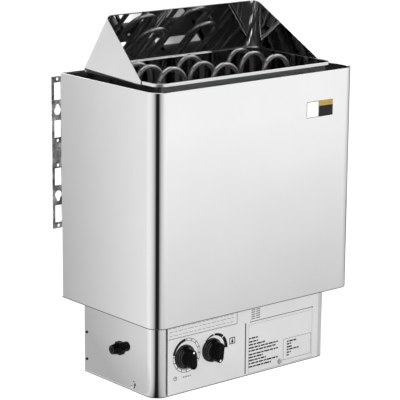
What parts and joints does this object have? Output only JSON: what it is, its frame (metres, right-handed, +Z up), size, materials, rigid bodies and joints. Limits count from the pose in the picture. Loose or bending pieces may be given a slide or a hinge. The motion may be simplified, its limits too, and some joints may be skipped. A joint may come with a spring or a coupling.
{
  "type": "sauna heater",
  "caption": "Wall-hung electric sauna heater: polished steel casing, open stone box with tubular loop elements, leaning heat reflector and a control box with timer and thermostat knobs below.",
  "frame": {"origin": "centre of the junction box's underside, at the outer face of the bottom cover", "axes": "+X to the right of someone facing the front, +Y from the front towards the wall, +Z up"},
  "size_m": [0.4178, 0.28, 0.578],
  "materials": {
    "mirror_steel": "polished stainless sheet",
    "satin_steel": "satin stainless",
    "galvanised_steel": "bright galvanised sheet",
    "element_steel": "matt grey oxidised tube",
    "printed_panel": "smooth silver sheet with black print",
    "black_plastic": "smooth black moulding",
    "black_steel": "black finished steel",
    "white_plastic": "white inlay",
    "red_plastic": "red moulding",
    "cream_ceramic": "cream steatite",
    "copper": "drawn copper tube",
    "black_rubber": "black rubber"
  },
  "bodies": {
    "heater": {"outer_casing": "mirror_steel", "stone_box": "mirror_steel", "heat_reflector": "mirror_steel", "junction_box": "mirror_steel", "rear_panel": "satin_steel", "casing_screw_1": "satin_steel", "casing_screw_2": "satin_steel", "casing_screw_3": "satin_steel", "casing_screw_4": "satin_steel", "junction_box_rear": "satin_steel", "bottom_cover": "satin_steel", "cover_screw_left": "satin_steel", "cover_screw_right": "satin_steel", "cover_screw_front": "satin_steel", "carrier_plate": "galvanised_steel", "support_rail_left": "galvanised_steel", "support_rail_right": "galvanised_steel", "stone_grate": "galvanised_steel", "sensor_clip": "galvanised_steel", "wall_bracket_left": "galvanised_steel", "wall_bracket_right": "galvanised_steel", "spacer_left": "galvanised_steel", "spacer_right": "galvanised_steel", "bracket_screw_left_lower": "satin_steel", "side_screw_left_lower": "black_steel", "bracket_screw_left_upper": "satin_steel", "side_screw_left_upper": "black_steel", "bracket_screw_right_lower": "satin_steel", "side_screw_right_lower": "black_steel", "bracket_screw_right_upper": "satin_steel", "side_screw_right_upper": "black_steel", "heating_element_left": "element_steel", "bushing_left_front": "satin_steel", "bushing_left_rear": "satin_steel", "heating_element_middle": "element_steel", "bushing_middle_front": "satin_steel", "bushing_middle_rear": "satin_steel", "heating_element_right": "element_steel", "bushing_right_front": "satin_steel", "bushing_right_rear": "satin_steel", "front_panel": "printed_panel", "timer_body": "black_plastic", "thermostat_body": "black_plastic", "limiter_body": "black_plastic", "gland_body": "black_plastic", "gland_locknut": "black_plastic", "gland_nut": "black_plastic", "thermostat_capillary": "copper", "sensor_bulb": "copper", "terminal_block": "cream_ceramic", "gland_seal": "black_rubber"},
    "timer": {"timer_knob": "black_plastic", "timer_pointer": "white_plastic", "timer_shaft": "satin_steel"},
    "thermostat": {"thermostat_knob": "black_plastic", "thermostat_pointer": "white_plastic", "thermostat_shaft": "satin_steel"},
    "reset": {"reset_button": "red_plastic"}
  },
  "joints": [
    {"name": "timer_turn", "type": "hinge", "parent": "heater", "child": "timer", "pos_m": [-0.1255, -0.1, 0.06], "axis": [0, 1, 0], "range_deg": [0, 315]},
    {"name": "thermostat_turn", "type": "hinge", "parent": "heater", "child": "thermostat", "pos_m": [-0.0705, -0.1, 0.06], "axis": [0, 1, 0], "range_deg": [0, 300]},
    {"name": "reset_press", "type": "slide", "parent": "heater", "child": "reset", "axis": [0, 0, 1], "range_m": [0, 0.003], "stiffness_N_per_m": 400, "springref_m": -0.001}
  ]
}
